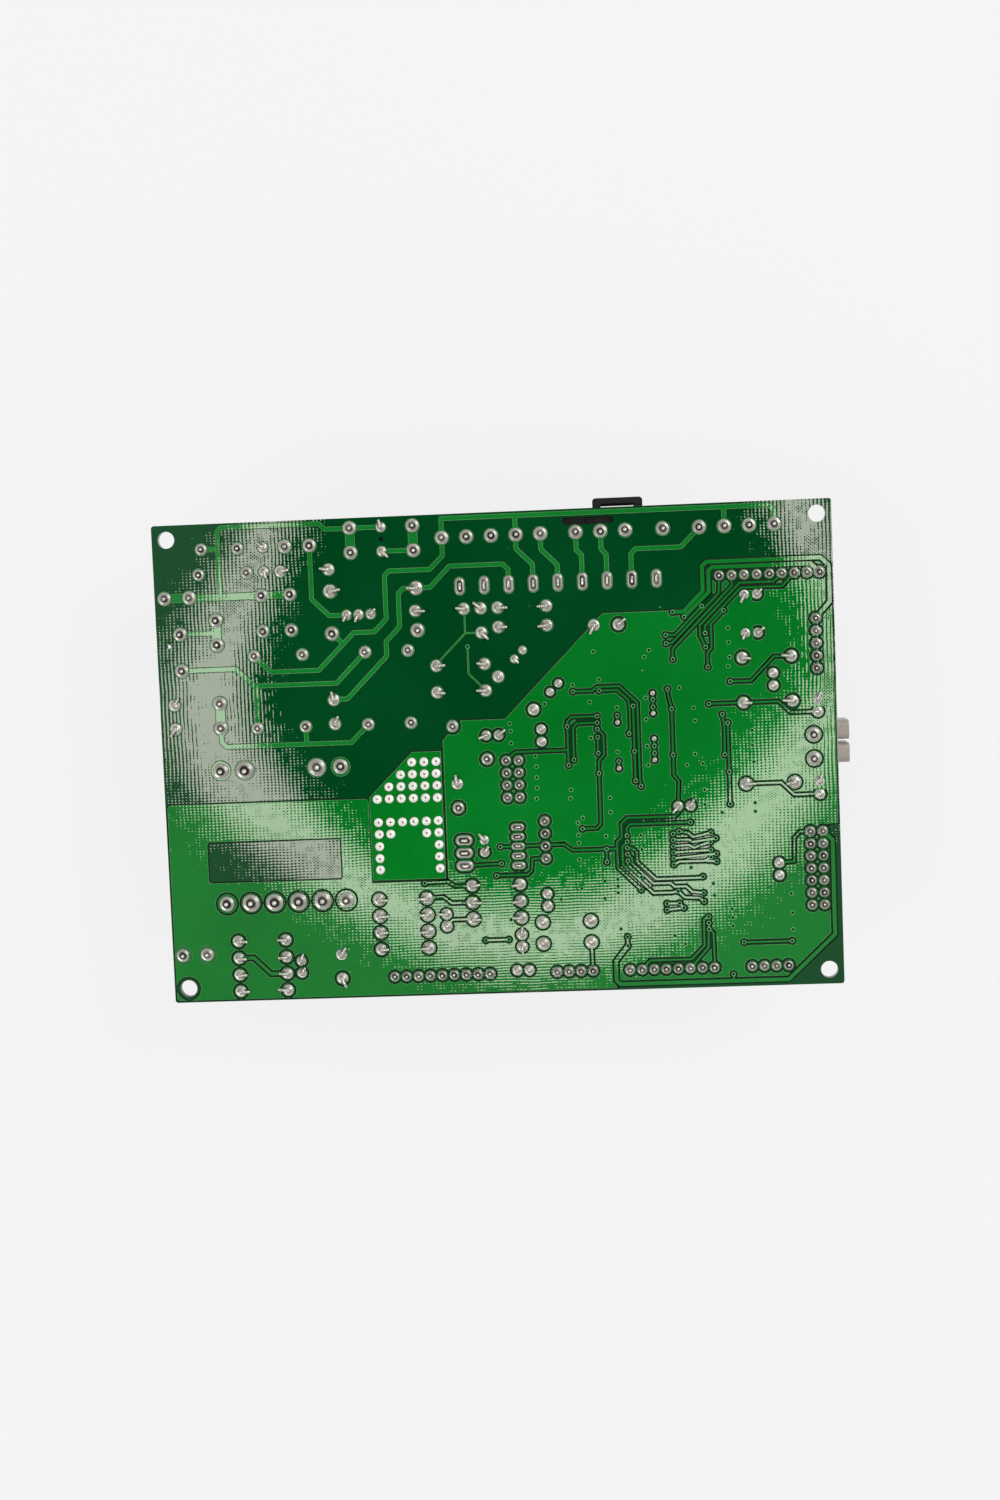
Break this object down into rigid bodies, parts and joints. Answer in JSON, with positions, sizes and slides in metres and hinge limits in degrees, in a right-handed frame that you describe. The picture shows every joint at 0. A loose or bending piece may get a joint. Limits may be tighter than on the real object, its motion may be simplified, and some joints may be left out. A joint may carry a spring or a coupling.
{
  "type": "boiler control board",
  "caption": "Rectangular boiler control circuit board, seen from its soldered side, with green coated copper areas and tracks, solder joints, corner fixing holes and parts beneath.",
  "frame": {"origin": "centre of the four fixing holes, halfway through the board", "axes": "+X along the board to the side with the two grey noses, +Y to the edge with the black latch frame, +Z out of the soldered side"},
  "size_m": [0.1436, 0.102, 0.0367],
  "materials": {
    "bare_board": "green solder mask over bare fibreglass, glossy with a weave",
    "masked_copper": "green solder mask over copper, glossy",
    "masked_track": "green solder mask over tracks, glossy",
    "solder": "wave-soldered tin alloy, bright and slightly uneven",
    "tinned": "tinned metal, satin",
    "resistor_coat": "lacquered resistor body",
    "black_plastic": "moulded black plastic",
    "power_coat": "cement-like resistor coating",
    "film_case": "moulded capacitor case",
    "blue_coat": "dipped epoxy coating",
    "sleeve": "plastic sleeve over a can",
    "orange_coat": "dipped epoxy coating",
    "wound_wire": "enamelled copper wire",
    "ferrite": "dark ferrite",
    "fuse_glass": "clear glass tube",
    "core_steel": "stacked steel laminations, varnished",
    "coil_wrap": "taped winding",
    "white_plastic": "off-white moulded plastic",
    "module_case": "potted black case",
    "black_gloss": "smooth black moulded plastic",
    "grey_plastic": "pale grey moulded plastic, semi-gloss"
  },
  "bodies": {
    "root": {"laminate": "bare_board", "ground_copper": "masked_copper", "heat_copper": "masked_copper", "mains_copper": "masked_track", "signal_copper": "masked_track", "solder_blocks": "solder", "solder_mains": "solder", "solder_transformer": "solder", "solder_resistors": "solder", "solder_capacitors": "solder", "solder_small": "solder", "solder_headers": "solder", "solder_blades": "solder", "solder_dots": "solder", "axial_leads": "tinned", "resistor_bodies": "resistor_coat", "diode_bodies": "black_plastic", "power_resistors": "power_coat", "film_capacitors": "film_case", "film_leads": "tinned", "disc_capacitors": "blue_coat", "disc_leads": "tinned", "electrolytic_capacitor": "sleeve", "electrolytic_leads": "tinned", "small_capacitors": "orange_coat", "small_leads": "tinned", "varistor": "blue_coat", "mains_leads": "tinned", "line_coil": "wound_wire", "choke_base": "black_plastic", "choke_core": "ferrite", "choke_coils": "wound_wire", "blade_terminals": "tinned", "fuse_clips": "tinned", "fuse_glass": "fuse_glass", "fuse_caps": "tinned", "transformer_core": "core_steel", "transformer_bobbin": "black_plastic", "transformer_coil": "coil_wrap", "regulator": "black_plastic", "regulator_tab": "tinned", "switcher": "black_plastic", "switcher_leads": "tinned", "optocoupler": "white_plastic", "optocoupler_legs": "tinned", "transistor": "black_plastic", "control_module": "module_case", "module_leads": "tinned", "chips": "black_plastic", "chip_leads": "tinned", "connector_five": "white_plastic", "connector_three": "black_gloss", "connector_one": "white_plastic", "connector_four": "white_plastic", "block_contacts": "tinned", "header_strips": "white_plastic", "header_pins": "tinned", "terminal_block": "grey_plastic", "terminal_contacts": "tinned"}
  },
  "joints": []
}
